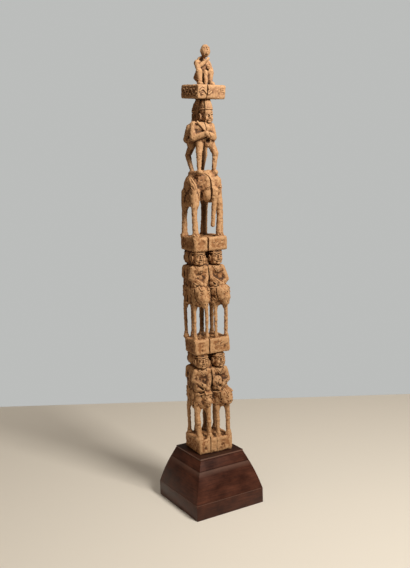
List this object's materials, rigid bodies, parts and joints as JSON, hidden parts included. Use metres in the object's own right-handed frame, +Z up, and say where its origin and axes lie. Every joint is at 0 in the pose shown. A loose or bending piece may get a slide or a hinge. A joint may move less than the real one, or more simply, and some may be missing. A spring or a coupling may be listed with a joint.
{
  "type": "carved ritual post",
  "caption": "Square wooden post carved in open tiers of riders on horses, an elephant with standing figures and a squatting figure on top, on a dark sloped plinth.",
  "frame": {"origin": "middle of the plinth's underside", "axes": "+Z up along the post, the post's front towards -Y, the plinth's sides along X and Y"},
  "size_m": [0.29, 0.29, 1.6996],
  "materials": {
    "carved_wood": "dry tan hardwood with knife facets, darker in the recesses",
    "dark_stained_wood": "very dark red-brown stain with a soft wax gloss"
  },
  "bodies": {
    "root": {"carved_post": "carved_wood", "plinth": "dark_stained_wood"}
  },
  "joints": []
}
